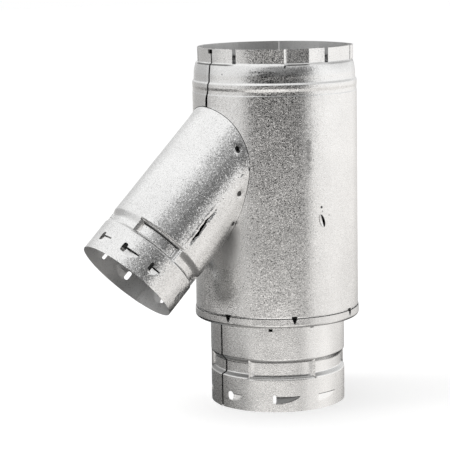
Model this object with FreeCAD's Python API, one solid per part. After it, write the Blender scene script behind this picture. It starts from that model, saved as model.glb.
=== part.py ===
import FreeCAD, Part
import math
import os

from FreeCAD import Matrix, Placement, Vector

# Double-wall gas vent reducing wye: a galvanised outer shell round an aluminium liner.
# Millimetres. +Z is up, the origin is on the main axis in the plane of the bottom rim,
# and the branch runs out to -X and down at 45 degrees.

# Pipe sizes. Each outer shell is 12.7 mm larger than the nominal bore of its liner.
body_od = 139.7
collar_od = 114.3
branch_od = 88.9
body_liner_bore = 127.0
collar_liner_bore = 101.6
branch_liner_bore = 76.2

# Sheet thicknesses and clearances.
shell_sheet = 0.5
cap_sheet = 0.6
liner_sheet = 0.5
spacer_gap = 0.3
slip_gap = 0.15

# Heights on the main axis.
height = 305.0
cap_bottom = 74.2
cap_height = 7.7
cap_edge_radius = 2.5
branch_axis_meets = 263.3
branch_length = 206.4
branch_angle = 45.0

# Necked top end: steps in from the body's radius, and heights down from the rim.
rim_step_in = 4.35
rim_band = 12.0
neck_step_in = 1.35
neck_taper = 14.4
neck_taper_step = 1.6
neck_swell_down = 19.0
neck_swell = 0.3
bead_centre_down = 30.2
bead_height = 7.2
bead_groove_depth = 1.0
bead_groove_height = 3.0
shoulder_height = 1.6

# Rim slots: place round the axis and width.
rim_slots = (
    (-152.3, 3.6), (-115.0, 1.6), (-80.9, 3.6), (-47.1, 3.4), (-13.0, 0.7),
    (21.4, 0.7), (54.0, 0.8), (87.2, 0.7), (126.4, 0.7), (160.0, 3.4),
)

# Grooves of the two female collars, measured from the mouth.
groove_depth = 3.0
panel_count = 3
panel_sweep = 60.0
collar_groove_start = 27.6
collar_groove_floor = 30.5
collar_groove_floor_end = 40.0
collar_panel_floor_end = 40.0
collar_groove_end = 44.5
collar_panel_turn = 1.8
branch_groove_start = 28.4
branch_groove_floor = 30.2
branch_groove_floor_end = 35.5
branch_panel_floor_end = 38.0
branch_groove_end = 41.5
branch_panel_turn = 61.5

# Twist-lock tabs: a pierced hole, then a flap that ramps from the hole back to the wall.
tab_depth = 2.8
tab_slit = 1.6
collar_tab_low = 7.2
collar_tab_high = 14.2
collar_tab_hole = 5.3
collar_tab_length = 19.4
collar_tab_places = (-169.0, -123.0, -85.1, -38.5, 6.9, 51.9, 96.9, 143.9)
branch_tab_low = 9.2
branch_tab_high = 17.0
branch_tab_hole = 4.0
branch_tab_length = 15.5
branch_tab_places = (2.0, 36.0, 70.0, 125.0, 190.0, 243.0, 279.0, 320.0)

# Lock seams: a raised lip along each shell.
seam_width = 3.5
seam_lip = 0.5
body_seam_turn = -178.0
collar_seam_turn = -180.0
branch_seam_turn = 216.0

# Spacers lanced inwards to carry the liner.
body_spacer_places = (-89.1, 0.0, 89.1)
body_spacer_low = 157.5
body_spacer_length = 16.5
body_spacer_width = 6.1
branch_spacer_places = (-91.0, 91.0)
branch_spacer_from_mouth = 51.0
branch_spacer_length = 30.5
branch_spacer_width = 2.6
spacer_slit = 0.7

# Flange turned out of the body's hole, inside the branch, and the stakes that hold them.
flange_length = 14.0
stake_places = (-127.0, -103.0, -68.0, 68.0, 103.0, 127.0)
stake_from_joint = 8.5
stake_radius = 1.2
stake_tip = 0.3
stake_depth = 0.35

# Cap ring: punched locks through its skirt, and tongues on the collar under it.
cap_lock_count = 7
cap_lock_turn = -109.4
cap_lock_width = 5.5
cap_lock_height = 4.9
cap_flange = 3.9
tongue_count = 10
tongue_turn = -127.8
tongue_width = 3.4
tongue_window = 2.4
tongue_drop = 2.8
tongue_reach = 1.8

# Liner ends and the cone of its reducer.
liner_recess = 27.0
liner_top_down = 17.0
liner_flare_height = 3.5
reducer_cone_low = 84.0
reducer_cone_high = 118.0
reducer_sleeve = 12.0

# Embedding that lets a strip of sheet grow out of its wall, and how far cuts pass a wall.
root = 0.6
cut_past = 3.0

body_r = body_od / 2
collar_r = collar_od / 2
branch_r = branch_od / 2
rim_r = body_r - rim_step_in
neck_r = body_r - neck_step_in
body_liner_r = body_liner_bore / 2 + liner_sheet
collar_liner_r = collar_liner_bore / 2 + liner_sheet
branch_liner_r = branch_liner_bore / 2 + liner_sheet
cap_top = cap_bottom + cap_height
plate_top = cap_bottom + cap_sheet
skirt_r = body_r + spacer_gap
everything = 4 * height

MAIN_AXIS = Vector(0, 0, 1)
ORIGIN = Vector(0, 0, 0)


def edges_along(path, offset):
    """Edges along (r, z) points; a point with a third item is the middle of an arc."""
    def point(item):
        return Vector(item[0] + offset, 0, item[1])

    edges = []
    start = point(path[0])
    middle = None
    for item in path[1:]:
        if len(item) == 3:
            middle = point(item)
            continue
        end = point(item)
        if middle is None:
            edges.append(Part.LineSegment(start, end).toShape())
        else:
            edges.append(Part.Arc(start, middle, end).toShape())
        start = end
        middle = None
    return edges


def band(path, inner, outer):
    """The face between a path moved by inner and by outer, both along r."""
    def end(item, offset):
        return Vector(item[0] + offset, 0, item[1])

    first = Part.LineSegment(end(path[0], inner), end(path[0], outer)).toShape()
    last = Part.LineSegment(end(path[-1], inner), end(path[-1], outer)).toShape()
    edges = edges_along(path, outer) + edges_along(path, inner) + [first, last]
    return Part.Face(Part.Wire(Part.__sortEdges__(edges)))


def polygon(points):
    """A face in the XZ plane with straight sides through the (r, z) points."""
    corners = [Vector(r, 0, z) for r, z in points]
    return Part.Face(Part.makePolygon(corners + corners[:1]))


def turned(face, start=0.0, sweep=360.0):
    """The face swept round the axis from a start angle."""
    face.rotate(ORIGIN, MAIN_AXIS, start)
    return face.revolve(ORIGIN, MAIN_AXIS, sweep)


def at_angle(shape, angle):
    shape.rotate(ORIGIN, MAIN_AXIS, angle)
    return shape


def radial_prism(outline, angle, inner, outer):
    """A prism with an outline of (across, up) points that runs outwards at an angle."""
    corners = [Vector(inner, across, up) for across, up in outline]
    face = Part.Face(Part.makePolygon(corners + corners[:1]))
    return at_angle(face.extrude(Vector(outer - inner, 0, 0)), angle)


def rectangle(width, low, high):
    half = width / 2
    return [(-half, low), (half, low), (half, high), (-half, high)]


def degrees_across(width, radius):
    return math.degrees(width / radius)


def disc(radius, low, high):
    return Part.makeCylinder(radius, high - low, Vector(0, 0, low))


def branch_direction():
    """The branch's axis, from the main axis out to its mouth."""
    angle = math.radians(branch_angle)
    return Vector(-math.sin(angle), 0, -math.cos(angle))


def in_branch(shape):
    """Moves a shape made with its mouth at z = 0 and its crown along +X onto the branch."""
    up = branch_direction() * -1
    across = Vector(0, -1, 0)
    crown = across.cross(up)
    mouth = Vector(0, 0, branch_axis_meets) + branch_direction() * branch_length
    shape.Placement = Placement(Matrix(
        crown.x, across.x, up.x, mouth.x,
        crown.y, across.y, up.y, mouth.y,
        crown.z, across.z, up.z, mouth.z,
        0, 0, 0, 1,
    ))
    return shape


def joint_from_mouth(angle):
    """How far from the mouth the branch's outside meets the body, at an angle from its crown."""
    tilt = math.radians(branch_angle)
    across = branch_r * math.sin(math.radians(angle))
    reach = math.sqrt(body_r ** 2 - across ** 2)
    crown_side = branch_r * math.cos(math.radians(angle)) * math.cos(tilt)
    return branch_length - (reach - crown_side) / math.sin(tilt)


def groove_path(radius, depth, start, floor, floor_end, end):
    """The outside of a groove rolled into a collar."""
    return [
        (radius, start),
        (radius - depth, floor),
        (radius - depth, floor_end),
        (radius, end),
    ]


def panelled(wall, radius, liner_r, shallow, floor_end, turn):
    """Sinks panels into a groove, deep enough to carry the liner inside them."""
    panel_depth = radius - liner_r - spacer_gap - shell_sheet
    start, floor, end = shallow[0][1], shallow[1][1], shallow[3][1]
    deep = groove_path(radius, panel_depth, start, floor, floor_end, end)
    inner_deep = [(r - shell_sheet, z) for r, z in reversed(deep)]
    end_sweep = degrees_across(shell_sheet, radius)
    for index in range(panel_count):
        first = turn + index * 360.0 / panel_count - panel_sweep / 2
        last = first + panel_sweep - end_sweep
        opening = [(radius + cut_past, start), (radius + cut_past, end)]
        opening += [(r - 2 * shell_sheet, z) for r, z in reversed(deep)]
        wall = wall.cut(turned(polygon(opening), first, panel_sweep))
        pieces = [turned(band(deep, -shell_sheet, 0), first, panel_sweep)]
        pieces += [turned(polygon(shallow + inner_deep), place, end_sweep) for place in (first, last)]
        wall = wall.fuse(pieces)
    return wall


def tab_flap(radius, angle, low, high, hole, length):
    """A flap that leaves the wall at its far end and mouth side and dips in beside the hole."""
    first = angle + degrees_across(hole, radius)
    last = angle + degrees_across(length + root, radius)
    skin = shell_sheet / 5
    sections = []
    for share in (0.0, 0.5, 1.0):
        dip = tab_depth * (1 - share)
        foot = (radius - skin, low - root)
        tip = (radius - skin - dip, high - tab_slit)
        thick = shell_sheet - 2 * skin
        outline = [foot, tip, (tip[0] - thick, tip[1]), (foot[0] - thick, foot[1])]
        corners = [Vector(r, 0, z) for r, z in outline]
        wire = Part.makePolygon(corners + corners[:1])
        sections.append(at_angle(wire, first + share * (last - first)))
    return Part.makeLoft(sections, True, True)


def tabbed(wall, radius, low, high, hole, length, places):
    """Cuts the twist-lock tabs into a collar and adds their flaps."""
    inner, outer = radius - cut_past, radius + cut_past
    section = [(inner, low), (outer, low), (outer, high), (inner, high)]
    sweep = degrees_across(length, radius)
    wall = wall.cut([turned(polygon(section), place, sweep) for place in places])
    return wall.fuse([tab_flap(radius, place, low, high, hole, length) for place in places])


def seam(path, turn, radius):
    """The raised lip of a lock seam that follows a wall's path."""
    return turned(band(path, -shell_sheet / 2, seam_lip), turn, degrees_across(seam_width, radius))


def spaced(wall, radius, liner_r, low, length, width, places):
    """Lances strips inwards from a wall until they reach the liner."""
    high = low + length
    middle = (low + high) / 2
    strip = width - 2 * spacer_slit
    skin = shell_sheet / 10
    thick = shell_sheet - 2 * skin
    bow = [
        (radius - skin, low - root),
        (liner_r + spacer_gap + thick, middle, "arc"),
        (radius - skin, high + root),
    ]
    windows = []
    bows = []
    for place in places:
        windows.append(radial_prism(rectangle(width, low, high), place, liner_r, radius + cut_past))
        face = band(bow, -thick, 0)
        face.translate(Vector(0, -strip / 2, 0))
        bows.append(at_angle(face.extrude(Vector(0, strip, 0)), place))
    return wall.cut(windows).fuse(bows)


def body_path():
    """The outside of the body from its foot in the cap ring to the slotted rim."""
    bead = height - bead_centre_down
    bead_low = bead - bead_height / 2
    groove_r = body_r - bead_groove_depth
    groove_low = bead_low - bead_groove_height
    return [
        (body_r, cap_bottom + cap_edge_radius),
        (body_r, groove_low - shoulder_height),
        (groove_r, groove_low),
        (groove_r, bead_low),
        (body_r, bead, "arc"),
        (neck_r, bead + bead_height / 2),
        (neck_r - neck_swell, height - neck_swell_down, "arc"),
        (rim_r + neck_taper_step, height - neck_taper),
        (rim_r, height - rim_band),
        (rim_r, height),
    ]


def neck_inside(z):
    """The inner radius of the neck's swell at a height, from the circle through its three points."""
    path = body_path()
    start, middle, end = (Vector(item[0] - shell_sheet, 0, item[1]) for item in path[5:8])
    circle = Part.Arc(start, middle, end).toShape().Curve
    return circle.Center.x + math.sqrt(circle.Radius ** 2 - (z - circle.Center.z) ** 2)


def cap_locks(inner, outer):
    """Triangular punches, tip down, through the cap's skirt and the body's foot."""
    half = cap_lock_width / 2
    top = cap_top + 2 * shell_sheet
    outline = [(-half, top), (half, top), (0, top - cap_lock_height)]
    pitch = 360.0 / cap_lock_count
    return [
        radial_prism(outline, cap_lock_turn + index * pitch, inner, outer)
        for index in range(cap_lock_count)
    ]


def outer_body():
    path = body_path()
    wall = turned(band(path, -shell_sheet, 0))
    lip_path = [(body_r, cap_top + 2 * shell_sheet)] + path[1:-1]
    lip = seam(lip_path, body_seam_turn, body_r)
    lip = lip.cut(in_branch(disc(branch_r + seam_lip, 0, branch_length)))
    plug = in_branch(disc(branch_r - shell_sheet - slip_gap, 0, branch_length))
    reach = disc(body_r, -height, everything)
    reach.translate(branch_direction() * flange_length)
    plug = plug.common(reach).cut(disc(body_r - shell_sheet / 2, -height, everything))
    wall = wall.fuse([lip, plug])
    bore_r = branch_r - 2 * shell_sheet - slip_gap
    wall = wall.cut(in_branch(disc(bore_r, 0, branch_length)))
    wall = spaced(wall, body_r, body_liner_r, body_spacer_low, body_spacer_length,
                  body_spacer_width, body_spacer_places)
    low, high = height - rim_band, height + cut_past
    cuts = [
        radial_prism(rectangle(width, low, high), place, rim_r - cut_past, rim_r + cut_past)
        for place, width in rim_slots
    ]
    return wall.cut(cuts + cap_locks(body_r - cut_past, body_r + cut_past))


def branch_outer_tube():
    path = groove_path(branch_r, groove_depth, branch_groove_start, branch_groove_floor,
                       branch_groove_floor_end, branch_groove_end)
    full = [(branch_r, 0)] + path + [(branch_r, branch_length)]
    wall = turned(band(full, -shell_sheet, 0))
    wall = panelled(wall, branch_r, branch_liner_r, path, branch_panel_floor_end, branch_panel_turn)
    wall = tabbed(wall, branch_r, branch_tab_low, branch_tab_high, branch_tab_hole,
                  branch_tab_length, branch_tab_places)
    wall = wall.fuse(seam(full, branch_seam_turn, branch_r))
    wall = spaced(wall, branch_r, branch_liner_r, branch_spacer_from_mouth,
                  branch_spacer_length, branch_spacer_width, branch_spacer_places)
    stakes = []
    for place in stake_places:
        dimple = Part.makeCone(stake_tip, 2 * stake_radius, 2 * stake_depth, ORIGIN, Vector(1, 0, 0))
        from_mouth = joint_from_mouth(place) - stake_from_joint
        dimple.translate(Vector(branch_r - stake_depth, 0, from_mouth))
        stakes.append(at_angle(dimple, -place))
    wall = in_branch(wall.cut(stakes))
    return wall.cut(disc(body_r + slip_gap, -height, everything))


def bottom_collar():
    path = groove_path(collar_r, groove_depth, collar_groove_start, collar_groove_floor,
                       collar_groove_floor_end, collar_groove_end)
    full = [(collar_r, 0)] + path + [(collar_r, plate_top + shell_sheet)]
    wall = turned(band(full, -shell_sheet, 0))
    wall = panelled(wall, collar_r, collar_liner_r, path, collar_panel_floor_end, collar_panel_turn)
    wall = tabbed(wall, collar_r, collar_tab_low, collar_tab_high, collar_tab_hole,
                  collar_tab_length, collar_tab_places)
    flange = disc(collar_r + cap_flange, plate_top, plate_top + shell_sheet)
    flange = flange.cut(disc(collar_r - shell_sheet / 2, 0, height))
    window_high = cap_bottom - tongue_drop
    seam_path = full[:-1] + [(collar_r, window_high)]
    lip = seam(seam_path, collar_seam_turn, collar_r)
    window = rectangle(tongue_width, window_high - tongue_window, window_high)
    tongue = [
        (collar_r - shell_sheet, window_high - root),
        (collar_r, window_high - root),
        (collar_r + tongue_reach, cap_bottom - slip_gap),
        (collar_r + tongue_reach - shell_sheet, cap_bottom - slip_gap),
    ]
    sweep = degrees_across(tongue_width, collar_r)
    places = [tongue_turn + index * 360.0 / tongue_count for index in range(tongue_count)]
    wall = wall.cut([radial_prism(window, place, collar_r - cut_past, collar_r + cut_past) for place in places])
    tongues = [turned(polygon(tongue), place - sweep / 2, sweep) for place in places]
    return wall.fuse([flange, lip] + tongues)


def bottom_cap_ring():
    outer_r = skirt_r + cap_sheet
    corner_r = outer_r - cap_edge_radius
    corner_z = cap_bottom + cap_edge_radius
    diagonal = math.sqrt(0.5)
    inner_edge = cap_edge_radius - cap_sheet
    hole_r = collar_r + slip_gap
    edges = [
        Part.LineSegment(Vector(hole_r, 0, cap_bottom), Vector(corner_r, 0, cap_bottom)),
        Part.Arc(Vector(corner_r, 0, cap_bottom),
                 Vector(corner_r + diagonal * cap_edge_radius, 0, corner_z - diagonal * cap_edge_radius),
                 Vector(outer_r, 0, corner_z)),
        Part.LineSegment(Vector(outer_r, 0, corner_z), Vector(outer_r, 0, cap_top)),
        Part.LineSegment(Vector(outer_r, 0, cap_top), Vector(skirt_r, 0, cap_top)),
        Part.LineSegment(Vector(skirt_r, 0, cap_top), Vector(skirt_r, 0, corner_z)),
        Part.Arc(Vector(skirt_r, 0, corner_z),
                 Vector(corner_r + diagonal * inner_edge, 0, corner_z - diagonal * inner_edge),
                 Vector(corner_r, 0, plate_top)),
        Part.LineSegment(Vector(corner_r, 0, plate_top), Vector(hole_r, 0, plate_top)),
        Part.LineSegment(Vector(hole_r, 0, plate_top), Vector(hole_r, 0, cap_bottom)),
    ]
    face = Part.Face(Part.Wire([edge.toShape() for edge in edges]))
    return turned(face).cut(cap_locks(body_r - cut_past, body_r + cut_past))


def liner_body():
    top = height - liner_top_down
    flare_r = neck_inside(top) - spacer_gap
    path = [
        (body_liner_r, reducer_cone_high + root),
        (body_liner_r, top - liner_flare_height),
        (flare_r, top),
    ]
    wall = turned(band(path, -liner_sheet, 0))
    return wall.cut(in_branch(disc(branch_liner_bore / 2, 0, branch_length)))


def liner_reducer():
    sleeve_r = body_liner_r + slip_gap + liner_sheet
    path = [
        (collar_liner_r, liner_recess),
        (collar_liner_r, reducer_cone_low),
        (sleeve_r, reducer_cone_high),
        (sleeve_r, reducer_cone_high + reducer_sleeve),
    ]
    return turned(band(path, -liner_sheet, 0))


def liner_branch():
    path = [(branch_liner_r, liner_recess), (branch_liner_r, branch_length)]
    wall = in_branch(turned(band(path, -liner_sheet, 0)))
    return wall.cut(disc(body_liner_r + slip_gap, -height, everything))


PIECES = (
    outer_body,
    branch_outer_tube,
    bottom_collar,
    bottom_cap_ring,
    liner_body,
    liner_reducer,
    liner_branch,
)

os.makedirs("parts", exist_ok=True)
for piece in PIECES:
    solid = piece()
    solid.exportStep("parts/" + piece.__name__ + ".step")
    print(piece.__name__, len(solid.Solids), solid.isValid(), round(solid.Volume, 1))
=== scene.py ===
import math
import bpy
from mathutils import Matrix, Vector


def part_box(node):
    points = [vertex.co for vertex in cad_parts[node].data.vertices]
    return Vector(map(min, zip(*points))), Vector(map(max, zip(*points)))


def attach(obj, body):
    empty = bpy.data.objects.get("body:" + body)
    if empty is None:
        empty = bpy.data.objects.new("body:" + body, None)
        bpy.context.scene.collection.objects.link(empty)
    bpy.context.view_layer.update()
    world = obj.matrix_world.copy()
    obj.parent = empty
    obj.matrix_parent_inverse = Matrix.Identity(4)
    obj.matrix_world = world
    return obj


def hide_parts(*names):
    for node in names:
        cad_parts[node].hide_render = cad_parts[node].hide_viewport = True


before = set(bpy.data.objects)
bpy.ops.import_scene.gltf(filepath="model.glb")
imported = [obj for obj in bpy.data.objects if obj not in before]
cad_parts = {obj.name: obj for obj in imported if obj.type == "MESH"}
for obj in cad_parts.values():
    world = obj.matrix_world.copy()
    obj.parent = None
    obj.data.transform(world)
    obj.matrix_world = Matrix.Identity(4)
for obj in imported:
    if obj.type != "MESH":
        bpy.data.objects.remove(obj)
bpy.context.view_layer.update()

from types import SimpleNamespace

import bpy
import numpy as np
from mathutils import Matrix, Vector, noise

# The looks of a double-wall gas vent wye. Each sheet-metal piece is a fine grid of angle by
# height with its own thickness, grooves, slots, tabs and dents. Sizes here are millimetres and
# degrees in the row frame, and become metres when a mesh is made.
MM = 0.001


def reach_mm(node, low, high):
    """The largest radius round the main axis that a CAD node has between two heights."""
    points = [v.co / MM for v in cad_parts[node].data.vertices]
    return max(math.hypot(p.x, p.y) for p in points if low <= p.z <= high)


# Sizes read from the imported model: the nodes' lowest and highest corners first.
FOOT, TOP = {}, {}
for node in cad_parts:
    low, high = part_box(node)
    FOOT[node], TOP[node] = low / MM, high / MM
HEIGHT = TOP["outer_body"].z
BODY_LOW = FOOT["outer_body"].z
BODY_R = TOP["outer_body"].y
BRANCH_R = TOP["branch_outer_tube"].y
COLLAR_R = reach_mm("bottom_collar", -1, 1)
COLLAR_HIGH = TOP["bottom_collar"].z
CAP_LOW = FOOT["bottom_cap_ring"].z
CAP_HIGH = TOP["bottom_cap_ring"].z
CAP_R = TOP["bottom_cap_ring"].y
BODY_LINER_R = TOP["liner_body"].y
LINER_BODY_LOW = FOOT["liner_body"].z
LINER_BODY_HIGH = TOP["liner_body"].z
BRANCH_LINER_R = TOP["liner_branch"].y
REDUCER_LOW = FOOT["liner_reducer"].z
REDUCER_HIGH = TOP["liner_reducer"].z
REDUCER_TUBE_R = reach_mm("liner_reducer", REDUCER_LOW - 1, REDUCER_LOW + 1)
SLEEVE_R = TOP["liner_reducer"].y

SHEET = 0.5
CAP_SHEET = 0.6
CREASE = 33

# The branch's axis leaves the main axis at a height and runs down at 45 degrees. From its split on,
# its rows follow the joint. The liners stop short of the mouths.
BRANCH_MEETS = 263.3
BRANCH_LENGTH = 206.4
BRANCH_TILT = math.radians(45)
BRANCH_SPLIT = 46.0
LINER_RECESS = 27.0

# How far the branch's edge flares out where it meets the body, by the angle from its crown, and
# how far the body's hole stands clear of it.
JOINT_FLARE = (
    (0, 0.3), (40, 0.25), (55, 0.0), (66, 0.02), (76, 0.3), (92, 0.85), (110, 0.55), (140, 0.3), (180, 0.2),
)
JOINT_LINE = 0.28
FLANGE_ROWS = (14.0, 6.0, 2.5, 0.8)
FLANGE_INSET = 1.6

# The slotted rim: how far it steps in, its height, and its slots as angle and width.
RIM_STEP_IN = 4.35
RIM_BAND = 12.0
RIM_R = BODY_R - RIM_STEP_IN
BAND_LOW = HEIGHT - RIM_BAND
SLOTS = (
    (-152.3, 3.6), (-115.0, 0.0), (-80.9, 3.6), (-46.4, 2.2), (-13.0, 0.3),
    (21.4, 0.3), (54.0, 0.3), (87.2, 0.3), (126.4, 0.3), (160.0, 3.4),
)
# The neck and its bead: lengths down from the rim, and how far the wall lies inside the body's.
NECK = (
    (38.05, 0.0), (37.6, 0.28), (34.5, 0.28), (32.2, 0.02), (31.6, 0.0), (29.1, 0.0), (28.7, 0.14),
    (27.5, 1.2), (24.8, 1.37), (21.5, 1.42), (17.5, 1.9), (14.2, 2.65), (12.85, 3.2),
    (RIM_BAND, RIM_STEP_IN), (-5.0, RIM_STEP_IN),
)
# Flaps between the slots: where the flap after a slot starts, how dark the painted shade in the crease
# at its foot is (0 for a bright ledge), how far its tip leans out and how far out the whole of it stands.
FLAPS = (
    (-152.3, 0.0, 0.25, 0.0), (-115.0, 0.75, -0.1, 0.0), (-80.9, 0.35, 0.1, 0.0), (-46.4, 0.4, 0.2, 1.8),
    (-13.0, 0.0, -0.2, 0.0), (21.4, 0.7, 0.1, 0.0), (54.0, 0.0, 0.0, 0.0), (87.2, 0.5, -0.25, 0.0),
    (126.4, 0.0, 0.2, 0.0), (160.0, 0.7, 0.05, 0.0),
)
# One flap is bent down its middle here, and one laps over its neighbour here.
FLAP_BEND = -96.1
LAP = -115.0

# Locks punched through the cap ring and the body's foot.
LOCKS = (-157.7, -110.2, -61.2, -6.6, 44.9, 96.3, 147.7)
LOCK_HALF = math.degrees(2.6 / BODY_R)
LOCK_LOW = 77.6
LOCK_HIGH = 84.0

# Spacers lanced inwards: angles, height and slits. The body's have eye-shaped slits.
BODY_SPACERS = (-89.1, 0.0, 89.1)
EYE_MIDDLE = 162.8
EYE_HALF = 5.6
EYE_LEAN = -0.28
EYE_EDGES = (-2.7, -1.7, 0.7, 2.9)
BRANCH_SPACERS = (-91.3, 91.3)
BRANCH_SPACER = (51.0, 81.5)

# Two female collars, measured from the mouth. A tab is its place, the widths of its hole and of
# the whole tab, its slit and how far its flap dips; a painted slit is not cut but painted dark as the
# shade in a slit, and a painted collar's deeply dipped flaps are painted darker as shade. Painted
# shade lies in dark lines, as low, high and amount: along the groove, and in from a sunk panel's top,
# foot, start and end. The groove's painted shade is fainter round an angle, up to a first turn from
# it, and less so up to a second.
COLLAR = SimpleNamespace(
    radius=COLLAR_R, groove=(28.2, 30.8, 40.4, 44.4), panel=(26.7, 43.9),
    panel_first=1.8, panel_sweep=60.3, seam=-182.4, gap=1.6,
    tab_low=7.2, tab_high=14.6, drop=1.6, flap_low=7.2, painted=True,
    tabs=(
        (-169.4, 5.8, 15.5, 0.5, 0.5), (-126.4, 2.6, 22.8, 0.5, 1.9), (-85.1, 0.0, 19.4, 0.5, 0.6),
        (-38.5, 4.0, 19.4, 0.6, 1.5), (6.9, 5.3, 19.4, 0.6, 1.8), (51.9, 5.3, 19.4, 0.6, 1.4),
        (96.9, 5.3, 19.4, 0.6, 1.9), (143.9, 4.6, 19.4, 0.6, 1.5),
    ),
    groove_shade=((28.4, 30.8, 0.6), (41.3, 43.6, 0.5)), clean=(-50, 22, 44),
    top_shade=((1.0, 2.6, 0.6),), foot_shade=((1.0, 1.9, 0.5), (2.3, 3.2, 0.8)),
    start_shade=((-0.4, 0.3, 0.6),), end_shade=((-0.4, 0.3, 0.6),),
)
BRANCH = SimpleNamespace(
    radius=BRANCH_R, groove=(28.4, 30.4, 36.2, 41.0), panel=(28.0, 42.0),
    panel_first=61.5, panel_sweep=59.0, seam=216.0, gap=1.4,
    tab_low=9.2, tab_high=17.0, drop=2.6, flap_low=7.6, painted=False,
    tabs=(
        (0.8, 4.0, 13.5, 1.2, 0.9), (35.2, 4.2, 16.3, 1.3, 1.9), (71.3, 3.2, 10.8, 1.2, 1.7),
        (125.0, 4.0, 15.5, 1.0, 1.2), (190.0, 4.0, 15.5, 0.22, 1.0), (243.0, 4.0, 15.5, 0.22, 1.0),
        (279.0, 4.0, 15.5, 0.22, 1.0), (320.0, 4.0, 15.5, 0.22, 1.0),
    ),
    groove_shade=((28.4, 29.2, 0.85), (37.4, 40.4, 0.3)), clean=(0, 50, 80),
    top_shade=((-0.1, 0.4, 0.25), (1.8, 3.0, 0.93)), foot_shade=((-0.6, -0.2, 0.4),),
    start_shade=((0.9, 3.0, 0.52),), end_shade=((2.4, 3.6, 0.5),),
)
# Tongues lanced out of the foot under the cap: the first's angle, the step, their half width, and
# how far their windows' foot and top lie below the cap. All but the first lie higher.
TONGUE_TURN = -127.8
TONGUE_STEP = 36
TONGUE_HALF = 1.7
TONGUE_WINDOW = (5.2, 2.8)
TONGUE_RAISE = 1.9
COLLAR_FLANGE = 3.9
CAP_EDGE = 2.5
GROOVE_DEPTH = 3.0
TAB_CURVE = 2.3
# A sunk panel's depth by the distance in from its edge: a slope, a narrow ledge and a steep wall.
PANEL_STEPS = ((0.0, 0.0), (0.8, 1.5), (1.4, 1.5), (3.0, 5.05))
CORNER = 0.45

# Stakes near the joint: the angle round the branch and the distance from its mouth.
STAKES = ((68.3, 135.0), (102.6, 109.0), (126.9, 89.4), (-68.0, 135.0), (-103.0, 109.0), (-127.0, 89.4))

# Small dents of the body: angle, height, half width, half height and depth.
NICKS = ((-135.4, 285.2, 4.0, 0.7, 0.22), (-109.0, 288.5, 5.0, 0.9, -0.12), (-124.0, 288.0, 3.5, 0.9, 0.12))

# Dark marks: angle, height, the radius of a ring (0 for a dot), half its width and the share of the
# metal's brightness that stays. Soft dark patches: angle, height, half width, reach below and above,
# amount.
BODY_MARKS = (
    (-161.1, 284.5, 0, 0.85, 0.4), (-114.6, 291.3, 0, 0.95, 0.03), (-114.8, 290.2, 0, 0.8, 0.03),
    (-89.4, 174.2, 0, 1.3, 0.1), (-88.7, 170.6, 0, 0.9, 0.5), (-83.0, 167.0, 0, 0.9, 0.55),
    (-98.6, 228.0, 0, 3.2, 0.72), (-98.9, 222.0, 0, 3.4, 0.78), (-98.2, 215.0, 0, 2.6, 0.75),
    (-98.8, 206.0, 0, 2.8, 0.82),
)
# The branch's marks are painted shade in its stake dimples: dark rings on the dimples' walls, and dark dots
# at the first stake.
BRANCH_DIMPLE_SHADE = (
    (67.4, 135.2, 0, 2.5, 0.04), (70.0, 134.0, 0, 2.2, 0.05),
    (102.6, 109.0, 1.2, 1.35, 0.1), (126.9, 89.4, 1.1, 1.2, 0.14),
)
# The body's first patch is painted shade below the branch, on the lower left of the body, and its second is a
# narrow dark streak. The branch's patch is painted shade on its underside.
BODY_PATCHES = ((-156, 152, 10, 32, 15, 0.6), (-99.3, 219, 1.6, 15, 9, 0.36))
BRANCH_SHADE_PATCHES = ((128, 81, 12, 14, 10, 0.12),)
ZINC = (1.0, 0.998, 0.992)
ALUMINIUM = (1.0, 1.01, 1.02)

# Lock seam of the body: the angle of its gap's left edge at some heights, its lip and its gap.
SEAM_PLACES = (
    (70.0, -180.5), (140.0, -180.5), (255.0, -177.2), (264.0, -176.8), (270.0, -175.0),
    (276.0, -174.3), (287.0, -174.4), (294.0, -175.2), (305.0, -176.0),
)
SEAM_MIDDLE = -176.0
SEAM_WIDTH = 4.6
SEAM_LIP = 0.55
SEAM_GAP = 1.25
SEAM_GAP_LOW = 2.3
SEAM_NOTCH = (300.9, 304.4)


def turn_between(angle, centre):
    """The signed turn in degrees from centre to angle, from -180 to 180."""
    return (np.asarray(angle, float) - centre + 180.0) % 360.0 - 180.0


def smooth(value, low, high):
    """A smooth step from 0 at low to 1 at high."""
    t = np.clip((np.asarray(value, float) - low) / (high - low), 0, 1)
    return t * t * (3 - 2 * t)


def plateau(value, start, full, fade, end):
    """1 from full to fade, with smooth slopes down to 0 at start and end."""
    return smooth(value, start, full) * (1 - smooth(value, fade, end))


def degrees_across(width, radius):
    return math.degrees(width / radius)


def arc(angle, place, radius):
    """The distance in mm round a wall from a place to each angle."""
    return np.radians(turn_between(angle, place)) * radius


def rounded(z, points, corner=CORNER):
    """A line through (z, value) points at each z, with its corners rounded."""
    zs, values = zip(*points)
    shifts = np.linspace(-corner, corner, 9)
    return np.mean([np.interp(np.asarray(z) + shift, zs, values) for shift in shifts], axis=0)


def ladder(*stops):
    """Rising values: each stop but the last is (start, step)."""
    values = []
    for (start, step), following in zip(stops[:-1], stops[1:]):
        end = following[0] if isinstance(following, tuple) else following
        count = max(1, round((end - start) / step))
        values.extend(np.linspace(start, end, count, endpoint=False))
    return np.array(values + [stops[-1]])


def with_stops(values, stops, near):
    """The values with exact stops put in, in place of those that lie near one."""
    kept = [v for v in values if min(abs(v - s) for s in stops) > near]
    return np.array(sorted(kept + list(stops)))


def columns(step, edges):
    """Angles round a full turn, with exact feature edges put in."""
    edges = sorted({round(float(turn_between(edge, 0)), 4) for edge in edges})
    base = np.arange(-180, 180, step)
    kept = [a for a in base if min(abs(turn_between(e, a)) for e in edges) > step * 0.4]
    return np.array(sorted(kept + edges))


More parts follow.
